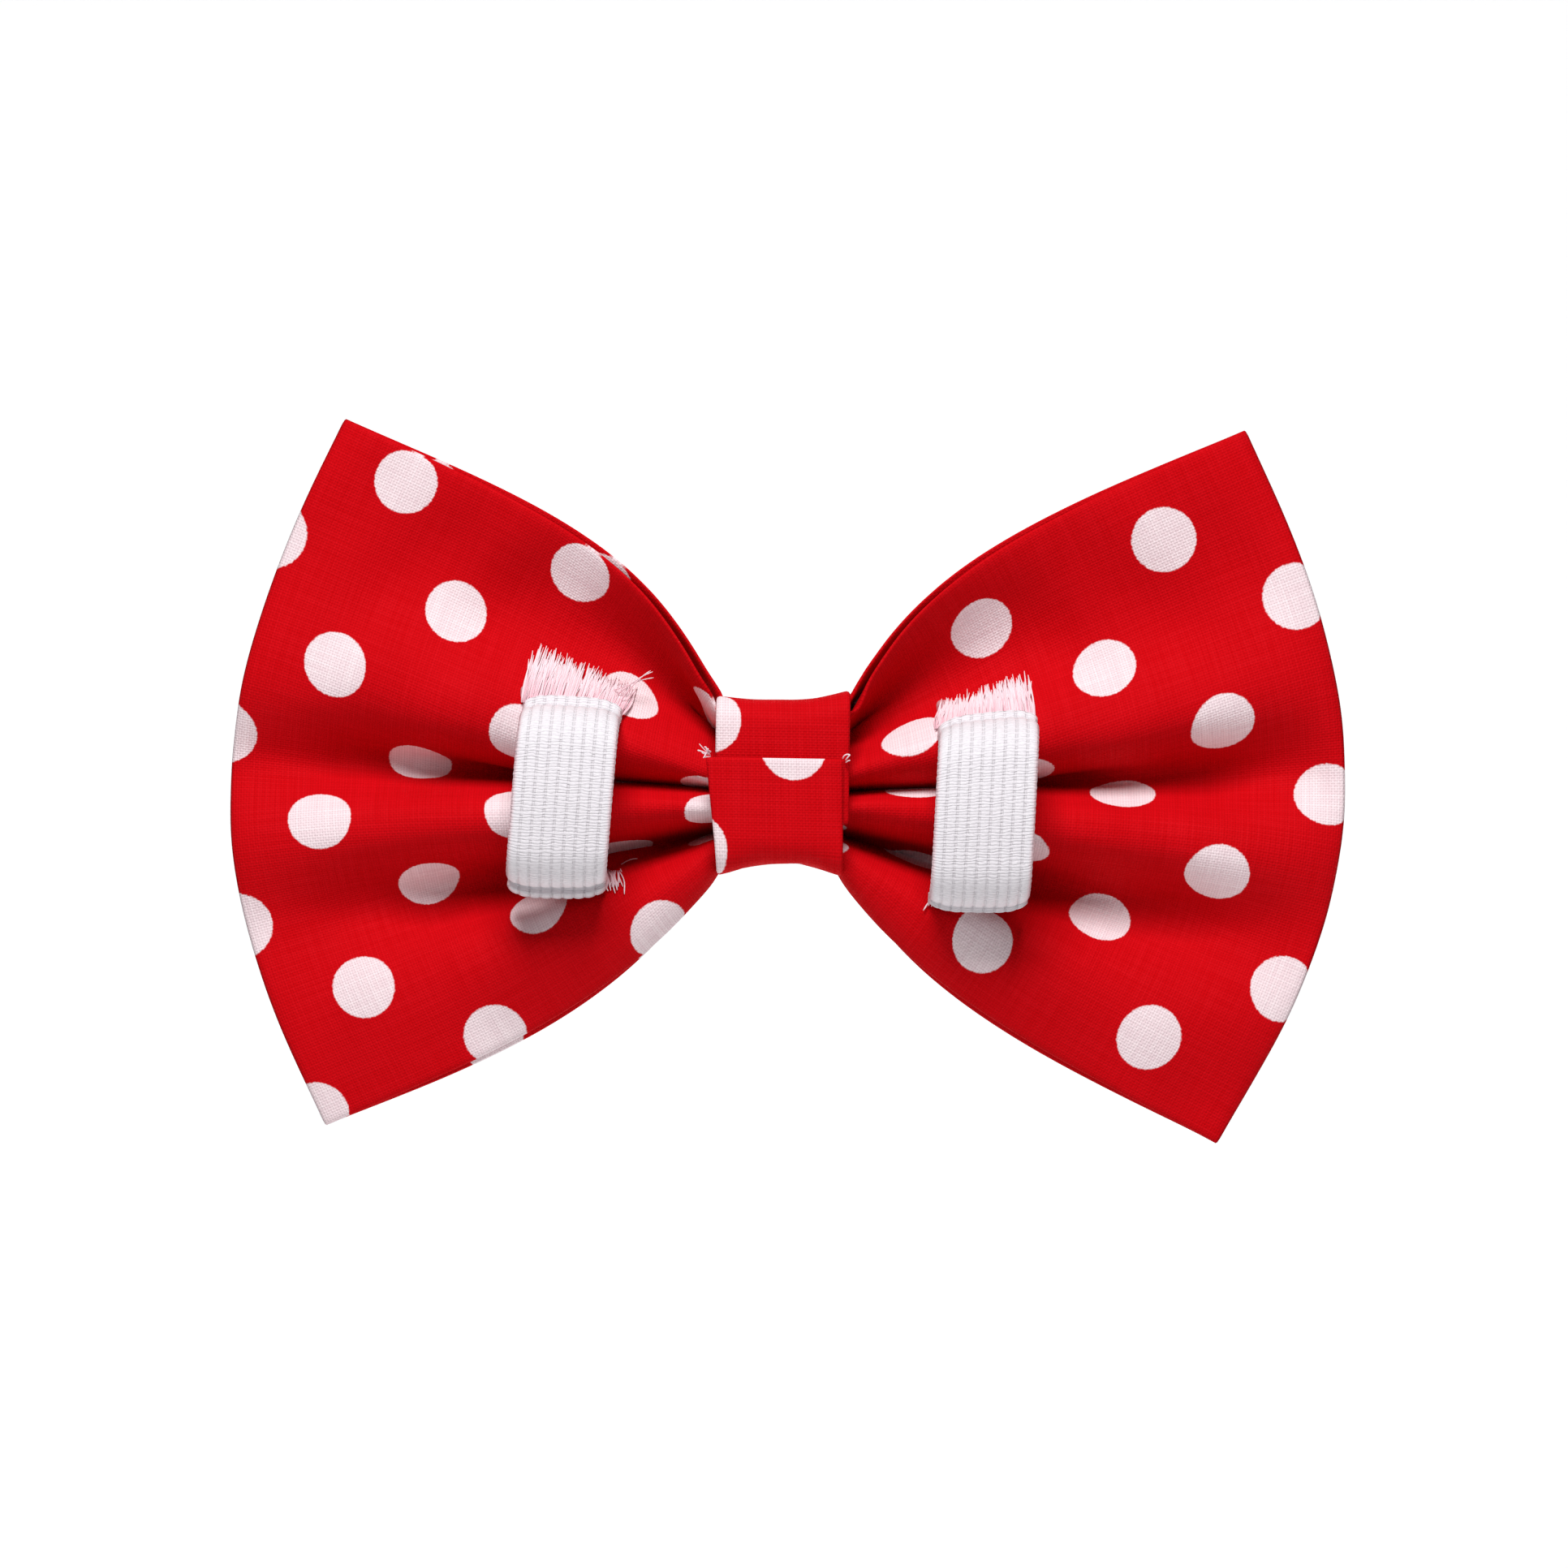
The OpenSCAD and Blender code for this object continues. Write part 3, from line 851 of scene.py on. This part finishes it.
def make_glue(name, tree, z_from, z_to, x_from, x_to, rng):
    """Hot glue squeezed flat between a tape's end and the cloth, with an uneven rim."""
    across, along = 17, 11
    points = np.zeros((across, along, 3))
    for i, u in enumerate(np.linspace(-1, 1, across)):
        for j, v in enumerate(np.linspace(-1, 1, along)):
            rim = 1 + 0.10 * math.sin(5 * u + 3 * v) + rng.uniform(-0.03, 0.03)
            x = (x_from + x_to) / 2 + u * (x_to - x_from) / 2 * rim * (1 - 0.12 * v * v)
            z = (z_from + z_to) / 2 + v * (z_to - z_from) / 2 * rim * (1 - 0.12 * u * u)
            dome = 0.30 * (1 - max(u * u, v * v)) ** 0.5
            points[i, j] = (x, cloth_y(tree, x, z, -4.0) + 0.05 + dome, z)
    points[1:-1, :, 1] = (points[:-2, :, 1] + points[1:-1, :, 1] * 2 + points[2:, :, 1]) / 4
    return solid_sheet(name, points, 0.22, points, 2)


def curl(start, away, turns, size, points):
    """A loose end of thread that curls."""
    line = []
    for t in np.linspace(0, 1, points):
        angle = 2 * math.pi * turns * t
        line.append(np.array(start) + np.array(away) * t
                    + size * t * np.array([math.cos(angle), 0.4 * math.sin(1.7 * angle), math.sin(angle)]))
    return np.array(line)


THREADS_Y = -0.75                   # between the knot's lap and the cloth under it


def make_loose_threads(rng):
    """The thread ends left at the two edges of the knot's overlap."""
    lines, radii = [], []
    for x, z, way, count, reach in ((7.0, 2.9, 1, 7, 1.5), (-6.5, 2.5, -1, 3, 0.5)):
        for _ in range(count):
            start = rng.uniform((-0.2, -0.1, -0.35), (0.2, 0.2, 0.35)) + (x, THREADS_Y, z)
            away = rng.uniform((0.3, 0.2, -0.6), (1.0, 0.7, 0.9)) * (way * reach, 1, reach)
            lines.append(curl(start, away, rng.uniform(0.2, 0.6), rng.uniform(0.1, 0.35), 14))
            radii.append(rng.uniform(0.05, 0.09))
    return yarn_piece("loose_threads", lines, radii)


# ---- dressing ----


def dress(piece, material, slot, body, *nodes):
    """Gives a piece its material, the body it rides on and the CAD nodes it stands for; slot is not used."""
    piece.data.materials.append(material)
    if body:
        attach(piece, body)
    if nodes:
        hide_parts(*nodes)


def bend_at_knot(piece):
    """Bakes the piece's placement into its mesh."""
    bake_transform(piece)


GLUE_REACH = {"top": (-2.5, 2.0), "bottom": (2.5, -0.3)}    # in z, from the loop's edge
GLUE_HALF_W = 4.7

cotton = spotted_cotton("spotted_cotton")
felt = stiff_felt("stiffener_felt")
white_tape = ribbed_elastic("ribbed_elastic")
pink_yarn = loose_yarn("frayed_yarn", (0.90, 0.76, 0.80), (0.84, 0.50, 0.57))
glue = hot_glue("hot_glue")
rng = np.random.default_rng(7)

for side_name in WINGS:
    wing_body, side = f"{side_name}_wing", WINGS[side_name][1]
    cloth, solved = make_wing(side_name)
    tree = surface_of(cloth)
    dress(cloth, cotton, "bow_cloth", None, f"{side_name}_front_cloth", f"{side_name}_back_cloth")
    bend_at_knot(cloth)
    stiffener = make_stiffener(side_name, solved)
    dress(stiffener, felt, "stiffener", None, f"{side_name}_stiffener")
    bend_at_knot(stiffener)

    tape, line = make_elastic(side_name, tree)
    dress(tape, white_tape, "elastic", None, f"{side_name}_elastic_loop", f"{side_name}_elastic_end_top",
          f"{side_name}_elastic_end_bottom")
    loop = LOOPS[side_name]
    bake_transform(tape)
    for end in ("top", "bottom"):
        fray = make_fray(f"{side_name}_{end}", tree, rng)
        dress(fray, pink_yarn, "elastic", wing_body)
        inwards, outwards = GLUE_REACH[end]
        drop = make_glue(f"{side_name}_glue_{end}_drop", tree, loop[end] + inwards, loop[end] + outwards,
                         loop["x"] - GLUE_HALF_W, loop["x"] + GLUE_HALF_W, rng)
        dress(drop, glue, "glue", wing_body, f"{side_name}_glue_{end}")

knot, knot_length = make_knot()
dress(knot, cotton, "knot_cloth", "knot", "knot_band", "waist_front_cloth", "waist_back_cloth")
threads = make_loose_threads(rng)
dress(threads, pink_yarn, "thread", "knot")
for node, material in (("gather_thread", twisted_thread("gathering_thread")), ("knot_glue", glue)):
    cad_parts[node].data.materials.clear()
    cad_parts[node].data.materials.append(material)


# ---- studio ----


VIEW_DISTANCE = 0.7
VIEW_WIDTH = 0.1584                 # what the picture spans at the bow's mid plane
VIEW_ROLL = math.radians(-0.9)
FILL = 0.17                         # the surround's light, which the camera sees as white
KEY_AT, KEY_SIZE, KEY_POWER = (0.03, 0.42, 0.50), 0.30, 4.8
FLOOR_Z, FLOOR_HALF_W = -0.6, 1.8
WALL_Y, WALL_TOP = -1.05, 1.2
COVE_R = 0.3                        # the bend from the floor up to the wall


def add_camera():
    """The photograph's view, from behind the bow."""
    camera = bpy.data.objects.new("camera", bpy.data.cameras.new("camera"))
    camera.data.sensor_width = 36
    camera.data.lens = 36 * VIEW_DISTANCE / VIEW_WIDTH
    camera.location = (-0.0005, MID_Y * MM + VIEW_DISTANCE, 0)
    camera.rotation_euler = (math.radians(90), VIEW_ROLL, math.radians(180))
    SCENE.collection.objects.link(camera)
    SCENE.camera = camera


def add_area_light(name, location, size, power):
    """A square light that faces the bow."""
    light = bpy.data.lights.new(name, "AREA")
    light.size, light.energy = size, power
    lamp = bpy.data.objects.new(name, light)
    lamp.location = location
    lamp.rotation_euler = (-Vector(location)).to_track_quat("-Z", "Y").to_euler()
    SCENE.collection.objects.link(lamp)


def add_world():
    """A white surround that lights the bow only faintly."""
    world = bpy.data.worlds.new("studio")
    world.use_nodes = True
    background = world.node_tree.nodes["Background"]
    background.inputs["Color"].default_value = (1, 1, 1, 1)
    seen = world.node_tree.nodes.new("ShaderNodeLightPath").outputs["Is Camera Ray"]
    strength = world.node_tree.nodes.new("ShaderNodeMath")
    strength.operation = "MAXIMUM"
    strength.inputs[1].default_value = FILL
    world.node_tree.links.new(seen, strength.inputs[0])
    world.node_tree.links.new(strength.outputs[0], background.inputs["Strength"])
    SCENE.world = world
    SCENE.view_settings.view_transform = "Standard"


def add_paper():
    """White paper that runs under the bow and up behind it."""
    s = Shader("studio_paper")
    s.bsdf.inputs["Emission Color"].default_value = (1, 1, 1, 1)
    s.bsdf.inputs["Emission Strength"].default_value = 0.5
    paper = s.finish((0.9, 0.9, 0.9), 0.9)
    bend_y = WALL_Y + COVE_R
    profile = [(2.0, FLOOR_Z), (bend_y, FLOOR_Z)]
    for step in range(1, 9):
        turn = math.radians(90) * step / 8
        profile.append((bend_y - COVE_R * math.sin(turn), FLOOR_Z + COVE_R * (1 - math.cos(turn))))
    profile.append((WALL_Y, WALL_TOP))
    points = [[(x, y, z) for x in (-FLOOR_HALF_W, FLOOR_HALF_W)] for y, z in profile]
    floor = new_piece("floor", np.array(points) / MM, grid_faces(len(profile), 2))
    floor.data.materials.append(paper)


add_camera()
add_world()
add_area_light("key", KEY_AT, KEY_SIZE, KEY_POWER)
add_paper()
